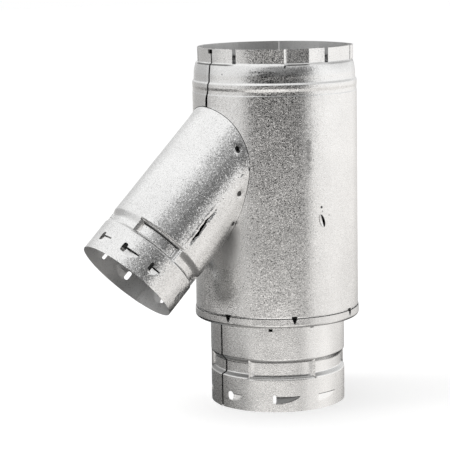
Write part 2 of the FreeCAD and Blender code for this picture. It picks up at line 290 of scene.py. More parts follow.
class Sheet:
    """Rows by columns of outer and inner points, whose cells can be cut out."""

    def __init__(self, outer, inner, closed=True, painted_shade_and_marks=0.0):
        self.outer, self.inner, self.closed = outer, inner, closed
        rows, cols = outer.shape[:2]
        self.keep = np.ones((rows - 1, cols if closed else cols - 1), bool)
        # Painted shade and dark marks: how far each point's colour is darkened, mostly where shade falls in
        # creases, grooves, gaps and the joint.
        self.painted_shade_and_marks = np.zeros((rows, cols)) + painted_shade_and_marks

    def arrays(self):
        """The vertices, faces, painted shade with dark marks, and inner side of the sheet, with every cut
        edge.
        """
        rows, cols = self.outer.shape[:2]
        count = rows * cols
        index = np.arange(count).reshape(rows, cols)
        right = np.roll(index, -1, axis=1) if self.closed else index[:, 1:]
        keep = self.keep
        wide = keep.shape[1]
        a, b = index[:-1, :wide], right[:-1, :wide]
        d, c = index[1:, :wide], right[1:, :wide]
        quads = np.stack([a, b, c, d], -1)[keep]
        faces = [quads, quads[:, ::-1] + count]
        padded = np.pad(keep, 1)
        if self.closed:
            padded[1:-1, 0] = keep[:, -1]
            padded[1:-1, -1] = keep[:, 0]
        borders = (
            (a, b, padded[:-2, 1:-1]), (b, c, padded[1:-1, 2:]),
            (c, d, padded[2:, 1:-1]), (d, a, padded[1:-1, :-2]),
        )
        for start, end, neighbour in borders:
            edge = keep & ~neighbour
            p, q = start[edge], end[edge]
            faces.append(np.stack([q, p, p + count, q + count], -1))
        vertices = np.concatenate([self.outer.reshape(-1, 3), self.inner.reshape(-1, 3)])
        inside = np.repeat([0.0, 1.0], count)
        return vertices, np.concatenate(faces), np.tile(self.painted_shade_and_marks.ravel(), 2), inside

    def cut(self, rows, cols):
        """Cuts out the cells that lie in both the marked rows and the marked columns."""
        self.keep &= ~np.outer(rows, cols)


def ring_points(radius, angle, z):
    """Points round the main axis; the three arrays broadcast together."""
    angle = np.radians(angle)
    radius, angle, z = np.broadcast_arrays(radius, angle, z)
    return np.stack([radius * np.cos(angle), radius * np.sin(angle), z], -1)


def wall(radius, angle, z, closed=True, painted_shade_and_marks=0.0, place=np.asarray):
    """A sheet that is SHEET thick inside a radius. Place moves its points."""
    outer, inner = ring_points(radius, angle, z), ring_points(radius - SHEET, angle, z)
    return Sheet(place(outer), place(inner), closed, painted_shade_and_marks)


def wavy(points, size, seed):
    """Smooth noise from -1 to 1 at each point, with features of about size mm."""
    flat = points.reshape(-1, 3) / size + seed
    values = [noise.noise(Vector(p)) for p in flat]
    return np.array(values).reshape(points.shape[:-1])


def dents(radius, angle, z, *waves):
    """Smooth unevenness of a wall. A wave is its depth, its size and its seed."""
    points = ring_points(radius, angle, z)
    return sum(depth * wavy(points, size, seed) for depth, size, seed in waves)


def new_object(name, data):
    """An object of the scene that shows some data."""
    item = bpy.data.objects.new(name, data)
    bpy.context.scene.collection.objects.link(item)
    return item


def make_piece(name, sheets):
    """One object from several sheets, smooth but for its sharp folds."""
    points, faces, *marks = zip(*(sheet.arrays() for sheet in sheets))
    firsts = np.cumsum([0] + [len(part) for part in points])
    vertices = np.concatenate(points) * MM
    faces = np.concatenate([part + first for part, first in zip(faces, firsts)])
    used = np.unique(faces)
    renumber = np.zeros(len(vertices), int)
    renumber[used] = np.arange(len(used))
    mesh = bpy.data.meshes.new(name)
    mesh.from_pydata(vertices[used].tolist(), [], renumber[faces].tolist())
    for label, values in zip(("painted_shade_and_marks", "inside"), marks):
        attribute = mesh.attributes.new(label, "FLOAT", "POINT")
        attribute.data.foreach_set("value", np.concatenate(values)[used].astype(np.float32))
    mesh.polygons.foreach_set("use_smooth", [True] * len(mesh.polygons))
    mesh.set_sharp_from_angle(angle=math.radians(CREASE))
    mesh.update()
    return new_object(name, mesh)


def finish_piece(piece, node, slot):
    piece.data.materials.append(metals[slot])
    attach(piece, "root")
    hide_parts(node)


# The branch's directions up it, across it and towards its crown, and its mouth's centre.
AXIS = np.array([math.sin(BRANCH_TILT), 0, math.cos(BRANCH_TILT)])
ACROSS = np.array([0, -1.0, 0])
CROWN = np.cross(ACROSS, AXIS)
MOUTH = np.array([0, 0, BRANCH_MEETS]) - AXIS * BRANCH_LENGTH


def to_branch(points):
    """Points made with the mouth at z = 0 and the crown along +X, moved onto the branch."""
    return points[..., :1] * CROWN + points[..., 1:2] * ACROSS + points[..., 2:3] * AXIS + MOUTH


def joint_height(radius, angle, shell_r):
    """How far from the mouth a tube round the branch's axis meets a shell round the main one."""
    angle = np.radians(angle)
    reach = np.sqrt(shell_r ** 2 - (radius * np.sin(angle)) ** 2)
    along = (reach - radius * np.cos(angle) * math.cos(BRANCH_TILT)) / math.sin(BRANCH_TILT)
    return BRANCH_LENGTH - along


def joint_flare(angle):
    return np.interp(np.abs(turn_between(angle, 0)), *zip(*JOINT_FLARE))


def joint_line(angle):
    """How far the body's hole stands clear of the branch's edge, which is less underneath."""
    return JOINT_LINE * np.interp(np.abs(turn_between(angle, 0)), (0, 105, 130, 180), (1, 1, 0.3, 0.3))


def cut_branch_hole(sheet, shell_r, radius_at):
    """Cuts a hole along the branch's axis out of a shell, with its edge on the true curve."""
    for grid, shell in ((sheet.outer, shell_r), (sheet.inner, shell_r - SHEET)):
        local = grid - MOUTH
        x, y = local @ CROWN, local @ ACROSS
        angle = np.degrees(np.arctan2(y, x))
        radius = radius_at(angle)
        inside = (np.hypot(x, y) < radius) & (grid[..., 0] < 0)
        edge = ring_points(radius, angle, joint_height(radius, angle, shell))
        grid[inside] = to_branch(edge)[inside]
        if grid is sheet.outer:
            within = inside
    right = np.roll(within, -1, axis=1)
    sheet.keep &= ~(within[:-1] & within[1:] & right[:-1] & right[1:])


def between(values, low, high):
    """For each cell, whether its middle lies between low and high."""
    middle = (values[:-1] + values[1:]) / 2
    return (middle > low) & (middle < high)


def cells_between(angles, start, sweep):
    """For each column cell, whether its middle lies within a sweep that begins at start."""
    middle = angles + ((np.roll(angles, -1) - angles) % 360) / 2
    return (middle - start) % 360 < sweep


def body_profile(z):
    """The outer body's radius at each height."""
    foot = [(0, BODY_R - 0.7), (CAP_HIGH - 0.3, BODY_R - 0.7), (CAP_HIGH + 0.8, BODY_R)]
    return rounded(z, foot + [(HEIGHT - down, BODY_R - sunk) for down, sunk in NECK], 0.22)


def warp_locks(angle, z):
    """Draws the columns beside each lock together towards its tip."""
    share = np.clip((z - LOCK_LOW) / (LOCK_HIGH - LOCK_LOW), 0.03, 1) ** 0.6
    for centre in LOCKS:
        away = turn_between(angle, centre)
        across = np.abs(away) / LOCK_HALF
        wide = LOCK_HALF * share
        moved = np.where(across <= 1, across * wide, wide + (across - 1) * (2 * LOCK_HALF - wide))
        angle = np.where(across < 2, angle + np.sign(away) * moved - away, angle)
    return angle


def lock_edges():
    return [centre + LOCK_HALF * share for centre in LOCKS for share in (-2, -1, -0.5, 0, 0.5, 1, 2)]


def cut_locks(sheet, rows, angles):
    for centre in LOCKS:
        sheet.cut(rows, cells_between(angles, centre - LOCK_HALF, 2 * LOCK_HALF))


def warp_eyes(angle, z):
    """Bends the columns of each body spacer into the edges of two eye-shaped slits."""
    share = np.abs(z - EYE_MIDDLE) / EYE_HALF
    fade = smooth(share, 1.0, 2.2)
    narrow = np.maximum(np.sqrt(np.clip(1 - share ** 2, 0, 1)), 0.12)
    narrow = narrow + (1 - narrow) * fade
    lean = EYE_LEAN * (z - EYE_MIDDLE) * (1 - fade)
    reach, last = 8.0, EYE_EDGES[3]
    for place in BODY_SPACERS:
        x = arc(angle, place, BODY_R)
        edge = lean + np.sign(x) * last * narrow
        beyond = edge + (np.abs(x) - last) / (reach - last) * (np.sign(x) * reach - edge)
        moved = np.where(np.abs(x) <= last, lean + x * narrow, beyond)
        near = np.abs(x) < reach
        angle = np.where(near, angle + np.degrees((moved - x) / BODY_R), angle)
    return angle


def seam_turn(z):
    """The angle of the left edge of the body seam's gap at each height."""
    return np.interp(z, *zip(*SEAM_PLACES))


def with_patches(painted_shade_and_marks, angle, height, patches):
    """The painted shade with soft dark patches added, most of them painted shade too."""
    for place, middle, wide, below, above, amount in patches:
        x, y = turn_between(angle, place) / wide, height - middle
        y = y / np.where(y < 0, below, above)
        painted_shade_and_marks = np.maximum(painted_shade_and_marks, amount * np.exp(-x ** 2 - y ** 2))
    return painted_shade_and_marks


def body_columns():
    edges = [FLAP_BEND - 0.6, FLAP_BEND, FLAP_BEND + 0.6]
    edges += [LAP + degrees_across(offset, RIM_R) for offset in (-0.15, 0.0, 0.65, 1.3)]
    for place, width in SLOTS:
        half = degrees_across(width / 2, RIM_R)
        edges += [place - half, place + half] if width else []
    eye = [degrees_across(edge, BODY_R) for edge in EYE_EDGES]
    edges += [place + edge for place in BODY_SPACERS for edge in eye]
    offsets = (-3.8, 0.0, SEAM_GAP, SEAM_GAP + 0.9, -SEAM_WIDTH - 0.7, -SEAM_WIDTH, -SEAM_WIDTH + 0.7)
    edges += [SEAM_MIDDLE + degrees_across(offset, BODY_R) for offset in offsets]
    return columns(1.3, edges + lock_edges())


def rim_flaps(angle, height, above):
    """How far the flaps between the rim's slots bend out or in, and the painted shade in the creases at their
    feet.
    """
    lean = np.clip((height - BAND_LOW) / RIM_BAND, 0, 1)
    line = plateau(height, BAND_LOW - 1.8, BAND_LOW - 1.3, BAND_LOW - 0.6, BAND_LOW - 0.1)
    moved, painted_shade_and_marks = np.zeros(height.shape), np.zeros(height.shape)
    for number, (place, crease, tilt, out) in enumerate(FLAPS):
        following = FLAPS[(number + 1) % len(FLAPS)][0]
        sweep = float(turn_between(following, place)) % 360
        share = ((angle - place) % 360) / sweep
        on_flap = share < 1
        bend = ((FLAP_BEND - place) % 360) / sweep
        across, flat, left = 2 * share - 1, 0.6, crease
        if bend < 1:
            side = share < bend
            across = np.where(side, 2 * share / bend - 1, 2 * (share - bend) / (1 - bend) - 1)
            flat, left = 1.0, crease * side
        moved -= on_flap * above * flat * np.clip(1 - across ** 2, 0, 1)
        moved += on_flap * (lean * tilt + above * out * plateau(share, 0, 0.25, 0.6, 1))
        painted_shade_and_marks = np.maximum(painted_shade_and_marks, on_flap * line * left * np.clip(1.3 - across ** 4, 0, 1))
    return moved, painted_shade_and_marks


def seam_fold():
    """The body seam's inner fold, painted dark as the shade seen through its gap."""
    rows = np.linspace(205, HEIGHT - 0.5, 120)[:, None]
    across = np.linspace(-4.5, 5.5, 9)[None, :]
    dark = smooth(-np.abs(across - 0.5), -4.5, -3.5)
    return wall(body_profile(rows) - 1.5, seam_turn(rows) + across, rows, False, dark)


def hole_flange():
    """The hole's edge, which rolls in, painted dark as the shade in the joint, and out again as a flange in
    the branch.
    """
    around = np.arange(0, 360, 2.0)
    edge_r = BRANCH_R + joint_flare(around) + joint_line(around)
    flange_r = np.full(around.shape, BRANCH_R - FLANGE_INSET)
    rows = [(flange_r, 0.0, down) for down in FLANGE_ROWS]
    roll = ((1.5, 1.0), (0.9, 1.3), (0.35, 0.9), (0.0, 0.1))
    rows += [(edge_r - narrow, sunk, 0.0) for narrow, sunk in roll]
    path = []
    for radius, sunk, down in rows:
        up = joint_height(radius, around, BODY_R - sunk) - down
        path.append(to_branch(ring_points(radius, around, up)))
    path = np.array(path)
    return Sheet(path, path - np.array([-0.2, 0, 0]), painted_shade_and_marks=1.0)


def outer_body():
    z = ladder((BODY_LOW, 0.8), (86, 3.2), (100, 5.5), (154, 0.95), (172, 5.5), (252, 2.0), (265.5, 0.33),
               (279, 1.1), (291, 0.35), (294.5, 1.3), HEIGHT)
    eye = (EYE_MIDDLE - EYE_HALF, EYE_MIDDLE + EYE_HALF)
    z = with_stops(z, (LOCK_LOW, LOCK_HIGH, *eye, BAND_LOW, *SEAM_NOTCH, HEIGHT), 0.25)
    angles = body_columns()
    height, angle = np.meshgrid(z, angles, indexing="ij")
    angle = warp_eyes(warp_locks(angle, height), height)

    # The seam wanders, and its gap widens towards the joint.
    away = turn_between(angle, SEAM_MIDDLE)
    gap = degrees_across(SEAM_GAP, BODY_R)
    shift = (seam_turn(height) - SEAM_MIDDLE) * (1 - smooth(np.abs(away), 7, 20))
    widen = degrees_across(SEAM_GAP_LOW - SEAM_GAP, BODY_R) * (1 - smooth(height, 262, 270))
    shift += widen * (away > gap - 0.05) * (1 - smooth(away, 2, 8))
    angle += shift

    radius = body_profile(height)
    above = smooth(height, BAND_LOW - 0.4, BAND_LOW + 0.6)
    moved, painted_shade_and_marks = rim_flaps(angle, height, above)
    radius += moved
    x = arc(angle, LAP, RIM_R)
    radius += above * 0.6 * np.clip(1 - x / 1.3, 0, 1) * (x > -0.01)

    # Lock seam: a raised lip with an open gap beside it.
    lip = degrees_across(SEAM_WIDTH, BODY_R)
    away = turn_between(angle, seam_turn(height))
    raised = smooth(away, -lip - 0.6, -lip + 0.6) * (away < 0.02)
    radius += SEAM_LIP * raised * (1 - 0.5 * above)

    # Spacers: a strip pressed in between two slits.
    sunk = np.clip(1 - ((height - EYE_MIDDLE) / EYE_HALF) ** 2, 0, 1)
    for place in BODY_SPACERS:
        x = arc(angles, place, BODY_R)
        strip = (x > EYE_EDGES[1] - 0.05) & (x < EYE_EDGES[2] + 0.05)
        radius -= 0.8 * sunk * strip

    beside_seam = smooth(np.abs(away), 4, 8)
    dent = dents(radius, angle, height, (0.15, 46.0, 3.1), (0.06, 17.0, 8.7))
    radius += dent * beside_seam * smooth(height, 84, 92) * (1 - 0.5 * above)
    for turn, up, wide, tall, depth in NICKS:
        x = arc(angle, turn, BODY_R) / wide
        y = (height - up) / tall
        radius -= depth * y * np.exp(0.5 - x ** 2 - y ** 2)
    sheet = wall(radius, angle, height, painted_shade_and_marks=with_patches(painted_shade_and_marks, angle, height, BODY_PATCHES))

    for place, width in SLOTS:
        if width:
            half = degrees_across(width / 2, RIM_R)
            sheet.cut(between(z, BAND_LOW, HEIGHT), cells_between(angles, place - half, 2 * half))
    for place in BODY_SPACERS:
        for slit in (EYE_EDGES[:2], EYE_EDGES[2:]):
            first, last = (place + degrees_across(edge, BODY_R) for edge in slit)
            sheet.cut(between(z, *eye), cells_between(angles, first, last - first))
    sheet.cut(between(z, 200, SEAM_NOTCH[1]), cells_between(angles, SEAM_MIDDLE, gap))
    first, last = (degrees_across(offset, BODY_R) for offset in (-3.8, SEAM_GAP + 0.9))
    sheet.cut(between(z, *SEAM_NOTCH), cells_between(angles, SEAM_MIDDLE + first, last - first))
    cut_locks(sheet, between(z, LOCK_LOW, LOCK_HIGH), angles)
    cut_branch_hole(sheet, BODY_R, lambda angle: BRANCH_R + joint_flare(angle) + joint_line(angle))
    return make_piece("galvanised_body", [sheet, seam_fold(), hole_flange()])


def panel_side(spec, angle):
    """How far in mm each point lies in from the end of the nearest sunk panel."""
    away = np.abs((angle - spec.panel_first + 60) % 120 - 60)
    return np.radians(spec.panel_sweep / 2 - away) * spec.radius


def panel_depth(spec, angle, height):
    """How deep each point lies in a sunk panel, and whether it lies in one."""
    low, high = spec.panel
    inset, depths = zip(*PANEL_STEPS)
    inward = np.minimum(panel_side(spec, angle) * 0.75, np.minimum(height - low, high - height))
    depth = np.mean([np.interp(inward + s, inset, depths) for s in np.linspace(-0.3, 0.3, 5)], axis=0)
    return depth, inward > 0


def shade_bands(place, bands, soft=0.3):
    """Bands of painted shade across a distance, each with soft edges."""
    dark = np.zeros(np.shape(place))
    for low, high, amount in bands:
        band = plateau(place, low - soft, low + soft, high - soft, high + soft)
        dark = np.maximum(dark, amount * band)
    return dark


def along_flap(spec, tab, angle):
    """How far along a tab's flap each angle lies, from 0 at its hole to 1 at its hinge."""
    first, last = (tab[0] + degrees_across(width, spec.radius) for width in tab[1:3])
    return turn_between(angle, first) / (last - first)


def collar_shade(spec, angle, height):
    """Painted shade: dark lines on a collar's groove slopes and sunk panels' walls, where shade falls."""
    low, high = spec.panel
    side = panel_side(spec, angle)
    middle, near, far = spec.clean
    shade_strength = 0.25 + 0.75 * smooth(np.abs(turn_between(angle, middle)), near, far)
    groove = shade_bands(height, spec.groove_shade, 0.25) * (side < 0) * shade_strength
    foot, top = height - low, high - height
    on_end = (side * 0.75 < np.minimum(foot, top)) & (foot > 0) & (top > 0)
    on_top = (side > 0) & ~on_end & (top < foot)
    on_foot = (side > 0) & ~on_end & (foot <= top)
    starts = (angle - spec.panel_first + 60) % 120 < 60
    start, end = shade_bands(side, spec.start_shade), shade_bands(side, spec.end_shade)
    panel = np.where(starts, start, end) * on_end
    panel += shade_bands(top, spec.top_shade) * on_top + shade_bands(foot, spec.foot_shade) * on_foot
    dark = np.maximum(groove, panel)
    # Painted shade: the slits are painted dark instead of cut, and deeply dipped flaps are painted darker.
    if spec.painted:
        high = spec.tab_high - spec.drop
        for tab in spec.tabs:
            slit, dip = tab[3:]
            along = along_flap(spec, tab, angle)
            on_slit = (along > -0.01) & (along < 1) & (height > high - slit - 0.05) & (height < high + 0.05)
            up = (height - spec.tab_low) / (high - slit - spec.tab_low)
            on_flap = (up > np.clip(along, 0, 1) ** TAB_CURVE) & (up < 1) & (along > 0)
            dark = np.maximum(dark, 0.8 * on_slit)
            dark = np.maximum(dark, 0.3 * min(dip, 1.6) * on_flap * (dip > 1))
    return dark


def collar_radius(spec, angle, height):
    """A female collar's outer radius, with its groove, sunk panels and lock tabs."""
    start, floor, floor_end, end = spec.groove
    groove = rounded(height, ((0, 0), (start, 0), (floor, 1), (floor_end, 1), (end, 0), (400, 0)))
    depth, within = panel_depth(spec, angle, height)
    radius = spec.radius - np.where(within, depth, GROOVE_DEPTH * groove)
    for tab in spec.tabs:
        slit, dip = tab[3:]
        along = along_flap(spec, tab, angle)
        up = (height - spec.flap_low) / (spec.tab_high - spec.drop - slit - spec.flap_low)
        on_tab = (along > -0.01) & (along < 1) & (up > 0) & (up < 1.02)
        radius = radius - dip * np.clip(up - np.clip(along, 0, 1) ** TAB_CURVE, 0, 1) * on_tab
    return radius


def tab_edges(spec):
    return [tab[0] + degrees_across(width, spec.radius) for tab in spec.tabs for width in (0, *tab[1:3])]


def collar_columns(spec, step, extra):
    edges = extra + tab_edges(spec)
    half = spec.panel_sweep / 2
    for number in range(3):
        centre = spec.panel_first + 120 * number
        for inset in (-0.5, 0.0, 0.5, 1.0, 1.8, 2.6, 3.3, 4.1):
            turn = half - degrees_across(inset, spec.radius)
            edges += [centre - turn, centre + turn]
    for offset in (-0.6, 0.0, 0.7, SEAM_WIDTH - 0.7, SEAM_WIDTH, SEAM_WIDTH + spec.gap):
        edges.append(spec.seam + degrees_across(offset, spec.radius))
    return columns(step, edges)


def tab_stops(spec):
    high = spec.tab_high - spec.drop
    return sorted({spec.tab_low, spec.tab_high, high} | {high - tab[3] for tab in spec.tabs})


def round_holes(spec, angle, height):
    """Draws the columns at each tab hole's ends together, so that the hole has round ends."""
    low, high = spec.tab_low, spec.tab_high
    for place, hole, *_ in spec.tabs:
        if hole < 2:
            continue
        half = degrees_across(hole / 2, spec.radius)
        end = np.clip(np.minimum(height - low, high - height) / (hole * 0.45), 0, 1)
        narrow = 0.35 + 0.65 * np.sqrt(np.clip(1 - (1 - end) ** 2, 0, 1))
        inside = (height > low - 0.01) & (height < high + 0.01)
        away = turn_between(angle, place + half)
        left = (np.abs(away) <= half * 1.001) & inside
        angle = np.where(left, angle + away * (narrow - 1), angle)
    return angle


def cut_tabs(sheet, spec, angles, height):
    low, high = spec.tab_low, spec.tab_high
    for place, hole, length, slit, _ in spec.tabs:
        if hole > 0:
            sweep = degrees_across(hole, spec.radius)
            sheet.cut(between(height, low, high), cells_between(angles, place, sweep))
        if not spec.painted:
            start = degrees_across(hole / 2, spec.radius)
            sweep = degrees_across(length, spec.radius) - start
            top = high - spec.drop
            sheet.cut(between(height, top - slit, top), cells_between(angles, place + start, sweep))


def seam_lip(spec, angle):
    """The raised part of a collar's lock seam."""
    away = turn_between(angle, spec.seam)
    return SEAM_LIP * smooth(away, -0.6, 0.6) * (away < degrees_across(SEAM_WIDTH, spec.radius) + 0.02)


def seam_jog(spec, height):
    """The seam's sidestep in the groove, in degrees."""
    start, floor, floor_end, end = spec.groove
    return 2.4 * plateau(height, start - 1, floor, floor_end, end + 1)


def bottom_collar():
    spec = COLLAR
    windows = [CAP_LOW - down for down in TONGUE_WINDOW]
    raised = [up + TONGUE_RAISE for up in windows]
    tongues = [TONGUE_TURN + TONGUE_STEP * number for number in range(10)]
    half = degrees_across(TONGUE_HALF, COLLAR_R)
    angles = collar_columns(spec, 1.4, [t + side * half for t in tongues for side in (-1, 1)])
    z = ladder((0, 1.2), (6.5, 0.55), (15.0, 2.2), (25.8, 0.45), (45.5, 3.2), (66, 0.7), COLLAR_HIGH)
    z = with_stops(z, tab_stops(spec) + [*windows, *raised, CAP_LOW, 0.0, COLLAR_HIGH], 0.18)
    height, angle = np.meshgrid(z, angles, indexing="ij")
    angle = round_holes(spec, angle, height)
    radius = collar_radius(spec, angle, height) + seam_lip(spec, angle)
    radius += dents(radius, angle, height, (0.13, 34.0, 5.3), (0.05, 12.0, 2.9)) * smooth(height, 0.5, 6)
    painted_shade_and_marks = collar_shade(spec, angle, height)
    jog = seam_jog(spec, height)
    angle = angle + jog * (1 - smooth(np.abs(turn_between(angle, spec.seam + 4.6)), 5, 13))
    sheet = wall(radius, angle, height, painted_shade_and_marks=painted_shade_and_marks)
    cut_tabs(sheet, spec, angles, z)
    for number, tongue in enumerate(tongues):
        rows = between(z, *(raised if number else windows))
        sheet.cut(rows, cells_between(angles, tongue - half, 2 * half))
    lip = spec.seam + degrees_across(SEAM_WIDTH, COLLAR_R)
    gap = degrees_across(spec.gap, COLLAR_R)
    sheet.cut(between(z, 0.6, CAP_LOW - 2), cells_between(angles, lip, gap))

    # The seam's inner fold, painted dark as the shade seen through its gap.
    rows = np.linspace(0.3, CAP_LOW - 1.5, 100)[:, None]
    across = np.linspace(-2.5, 4.0, 9)[None, :] + lip + seam_jog(spec, rows)
    fold_r = collar_radius(spec, np.full((100, 9), -177.0), np.tile(rows, (1, 9))) - 1.4
    fold = wall(fold_r, across, rows, False, 1.0)

    # The flange that the cap ring lies against.
    around = np.arange(0, 360, 2.5)
    flange_r = np.linspace(COLLAR_R - 0.3, COLLAR_R + COLLAR_FLANGE, 4)[::-1, None]
    flange = Sheet(*(ring_points(flange_r, around, up) for up in (COLLAR_HIGH, COLLAR_HIGH - SHEET)))
    return make_piece("galvanised_collar", [sheet, fold, flange])


def slit_shape(height):
    """The middle and half width in mm of a branch spacer's ragged slit at each height."""
    low, high = BRANCH_SPACER
    share = np.clip((height - low) / (high - low), 0, 1)
    middle = 0.5 * np.sin(7 * share) + 0.22 * np.sin(23 * share + 1)
    wide = 0.25 + 1.15 * np.sin(math.pi * np.clip(share * 1.25, 0, 1)) ** 0.7
    wide *= 1 + 0.35 * np.sin(31 * share) + 0.2 * np.sin(57 * share + 2)
    ends = np.minimum(smooth(share, 0, 0.08), 1 - smooth(share, 0.9, 1))
    return middle * ends, np.clip(wide * ends, 0.05, 1.3)


def branch_tube():
    spec = BRANCH
    slit = degrees_across(1.4, BRANCH_R)
    edges = [place + share * slit for place in BRANCH_SPACERS for share in (-2, -1, 0, 1, 2)]
    angles = collar_columns(spec, 1.45, edges)
    split = BRANCH_SPLIT
    side = float(joint_height(BRANCH_R, 91.0, BODY_R)) - 0.7
    low = ladder((0, 1.3), (7.2, 0.55), (17.6, 2.4), (27.2, 0.45), (42.8, 1.1), split)
    low = with_stops(low, tab_stops(spec) + [0.0, split], 0.18)
    share = ladder((0, 0.019), 1.0)
    spacer_stops = [(h - split) / (side - split) for h in BRANCH_SPACER]
    share = with_stops(share, spacer_stops + [0.0, 1.0], 0.007)[1:]
    joint = joint_height(BRANCH_R + joint_flare(angles), angles, BODY_R) - 0.15
    height = np.concatenate([low[:, None] + 0 * angles, split + share[:, None] * (joint - split)])
    rows = np.concatenate([low, split + share * (side - split)])
    angle = round_holes(spec, angles + 0 * height, height)

    middle, wide = slit_shape(rows[:, None] + 0 * angles)
    for place in BRANCH_SPACERS:
        x = arc(angle, place, BRANCH_R)
        moved = np.where(np.abs(x) <= 1.4, middle + x / 1.4 * wide, x)
        near = (np.abs(x) <= 1.45) & (height > 50)
        angle = np.where(near, angle + np.degrees((moved - x) / BRANCH_R), angle)

    radius = collar_radius(spec, angle, height) + seam_lip(spec, angle)
    in_slit = ((rows > BRANCH_SPACER[0] - 3) & (rows < BRANCH_SPACER[1] + 3))[:, None]
    for place in BRANCH_SPACERS:
        x = arc(angle, place, BRANCH_R) - middle
        radius += in_slit * (0.3 * np.exp(-((np.abs(x) - 2.3) / 0.9) ** 2) - 0.7 * np.exp(-(x / 1.3) ** 2))
    radius += joint_flare(angle) * smooth(height - joint, -11, -0.5)
    for turn, up in STAKES:
        x = arc(angle, turn, BRANCH_R)
        away = np.hypot(x, height - up)
        radius -= 0.95 * np.exp(-(away / 3.3) ** 2) + 0.45 * np.exp(-(away / 1.4) ** 2)
    radius += dents(radius, angle, height, (0.14, 38.0, 1.7), (0.06, 13.0, 6.1)) * smooth(height, 0.5, 6)
    painted_shade_and_marks = with_patches(collar_shade(spec, angle, height), angle, height, BRANCH_SHADE_PATCHES)
    sheet = wall(radius, angle, height, painted_shade_and_marks=painted_shade_and_marks, place=to_branch)
    cut_tabs(sheet, spec, angles, rows)
    for place in BRANCH_SPACERS:
        sheet.cut(between(rows, *BRANCH_SPACER), cells_between(angles, place - slit, 2 * slit))
    return make_piece("galvanised_branch", [sheet])


def cap_ring():
    """A plate whose rim is rolled up round the body's foot and punched into it."""
    corner = CAP_R - CAP_EDGE
    bend = np.radians(np.linspace(-90, 0, 9))
    plate = np.linspace(COLLAR_R + 0.15, corner, 5)[:-1]
    skirt = with_stops(ladder((CAP_LOW + CAP_EDGE + 0.4, 0.6), CAP_HIGH), (LOCK_LOW, CAP_HIGH), 0.2)

    def section(depth):
        """Points of radius and height along the sheet, at a depth in from its outer side."""
        turn = CAP_EDGE - depth
        points = [(r, CAP_LOW + depth) for r in plate]
        points += [(corner + turn * math.cos(a), CAP_LOW + CAP_EDGE + turn * math.sin(a)) for a in bend]
        return np.array(points + [(CAP_R - depth, up) for up in skirt])

    path, inside = section(0), section(CAP_SHEET)
    angles = columns(1.5, lock_edges())
    height, angle = np.meshgrid(path[:, 1], angles, indexing="ij")
    angle = warp_locks(angle, height)
    uneven = dents(CAP_R, angle, height, (0.12, 16.0, 4.4)) - 0.12
    uneven *= smooth(path[:, :1], corner, CAP_R)
    outer = ring_points(path[:, :1] + uneven, angle, height)
    sheet = Sheet(outer, ring_points(inside[:, :1] + uneven, angle, inside[:, 1:2]))
    cut_locks(sheet, between(path[:, 1], LOCK_LOW, CAP_HIGH + 1) & (path[:-1, 0] > CAP_R - 0.01), angles)
    return make_piece("galvanised_cap", [sheet])


LINER_ANGLES = np.arange(-180, 180, 2.0)


def liner_body():
    flare = BODY_R - 2.8
    z = ladder((LINER_BODY_LOW, 3.0), (LINER_BODY_HIGH - 5, 0.5), LINER_BODY_HIGH)
    radius = rounded(z, (
        (0, BODY_LINER_R), (LINER_BODY_HIGH - 3.5, BODY_LINER_R), (LINER_BODY_HIGH, flare), (400, flare + 1),
    ), 0.3)[:, None]
    sheet = wall(np.minimum(radius, flare), LINER_ANGLES, z[:, None])
    cut_branch_hole(sheet, BODY_LINER_R, lambda angle: BRANCH_LINER_R - SHEET + 0 * angle)
    return make_piece("aluminium_liner_main", [sheet])


def liner_reducer():
    z = ladder((REDUCER_LOW, 6.0), (82, 0.8), (86, 4.0), (115, 0.8), (120, 2.5), REDUCER_HIGH)
    cone = ((0, REDUCER_TUBE_R), (84, REDUCER_TUBE_R), (118, SLEEVE_R), (400, SLEEVE_R))
    sheet = wall(rounded(z, cone, 1.0)[:, None], LINER_ANGLES, z[:, None])
    return make_piece("aluminium_liner_reducer", [sheet])


def liner_branch():
    joint = joint_height(BRANCH_LINER_R, LINER_ANGLES, BODY_LINER_R) - 0.2
    height = LINER_RECESS + ladder((0, 0.05), 1.0)[:, None] * (joint - LINER_RECESS)
    sheet = wall(BRANCH_LINER_R, LINER_ANGLES, height, place=to_branch)
    return make_piece("aluminium_liner_branch", [sheet])


